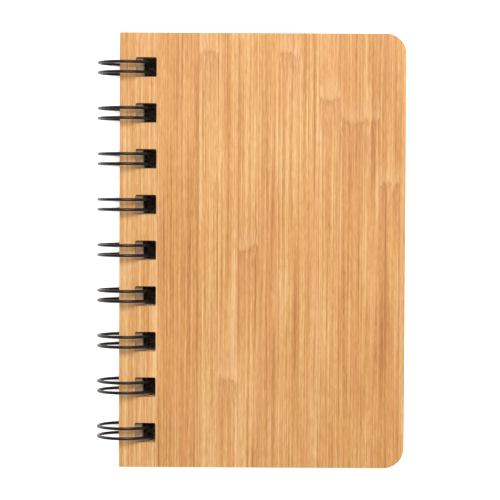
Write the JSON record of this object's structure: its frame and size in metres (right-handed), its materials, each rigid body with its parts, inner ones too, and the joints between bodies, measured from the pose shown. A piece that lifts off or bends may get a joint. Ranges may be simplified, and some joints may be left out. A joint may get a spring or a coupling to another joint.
{
  "type": "pocket notebook",
  "caption": "Small closed notebook with rigid bamboo boards and paper leaves turning on a black twin-loop wire along one long side.",
  "frame": {"origin": "under the middle of the closed notebook, on the surface it lies on", "axes": "+X from the spine to the fore edge, +Y towards the top of the page, +Z out through the front cover"},
  "size_m": [0.0996, 0.14, 0.0185],
  "materials": {
    "bamboo": "satin",
    "paper": "matte",
    "wire": "satin"
  },
  "bodies": {
    "wire": {"wire_pair_1": "wire", "wire_pair_2": "wire", "wire_pair_3": "wire", "wire_pair_4": "wire", "wire_pair_5": "wire", "wire_pair_6": "wire", "wire_pair_7": "wire", "wire_pair_8": "wire", "wire_pair_9": "wire"},
    "back_cover": {"back_cover": "bamboo"},
    "leaves_10": {"leaves_10": "paper"},
    "leaves_09": {"leaves_09": "paper"},
    "leaves_08": {"leaves_08": "paper"},
    "leaves_07": {"leaves_07": "paper"},
    "leaves_06": {"leaves_06": "paper"},
    "leaves_05": {"leaves_05": "paper"},
    "leaves_04": {"leaves_04": "paper"},
    "leaves_03": {"leaves_03": "paper"},
    "leaves_02": {"leaves_02": "paper"},
    "leaves_01": {"leaves_01": "paper"},
    "front_cover": {"front_cover": "bamboo"}
  },
  "joints": [
    {"name": "back_cover_hinge", "type": "hinge", "parent": "wire", "child": "back_cover", "pos_m": [-0.04055, 0, 0.00925], "axis": [0, -1, 0], "range_deg": [-180, 0]},
    {"name": "leaves_10_turn", "type": "hinge", "parent": "wire", "child": "leaves_10", "pos_m": [-0.04055, 0, 0.00925], "axis": [0, -1, 0], "range_deg": [0, 180]},
    {"name": "leaves_09_turn", "type": "hinge", "parent": "leaves_10", "child": "leaves_09", "pos_m": [-0.04055, 0, 0.00925], "axis": [0, -1, 0], "range_deg": [0, 180]},
    {"name": "leaves_08_turn", "type": "hinge", "parent": "leaves_09", "child": "leaves_08", "pos_m": [-0.04055, 0, 0.00925], "axis": [0, -1, 0], "range_deg": [0, 180]},
    {"name": "leaves_07_turn", "type": "hinge", "parent": "leaves_08", "child": "leaves_07", "pos_m": [-0.04055, 0, 0.00925], "axis": [0, -1, 0], "range_deg": [0, 180]},
    {"name": "leaves_06_turn", "type": "hinge", "parent": "leaves_07", "child": "leaves_06", "pos_m": [-0.04055, 0, 0.00925], "axis": [0, -1, 0], "range_deg": [0, 180]},
    {"name": "leaves_05_turn", "type": "hinge", "parent": "leaves_06", "child": "leaves_05", "pos_m": [-0.04055, 0, 0.00925], "axis": [0, -1, 0], "range_deg": [0, 180]},
    {"name": "leaves_04_turn", "type": "hinge", "parent": "leaves_05", "child": "leaves_04", "pos_m": [-0.04055, 0, 0.00925], "axis": [0, -1, 0], "range_deg": [0, 180]},
    {"name": "leaves_03_turn", "type": "hinge", "parent": "leaves_04", "child": "leaves_03", "pos_m": [-0.04055, 0, 0.00925], "axis": [0, -1, 0], "range_deg": [0, 180]},
    {"name": "leaves_02_turn", "type": "hinge", "parent": "leaves_03", "child": "leaves_02", "pos_m": [-0.04055, 0, 0.00925], "axis": [0, -1, 0], "range_deg": [0, 180]},
    {"name": "leaves_01_turn", "type": "hinge", "parent": "leaves_02", "child": "leaves_01", "pos_m": [-0.04055, 0, 0.00925], "axis": [0, -1, 0], "range_deg": [0, 180]},
    {"name": "front_cover_hinge", "type": "hinge", "parent": "leaves_01", "child": "front_cover", "pos_m": [-0.04055, 0, 0.00925], "axis": [0, -1, 0], "range_deg": [0, 180]}
  ]
}
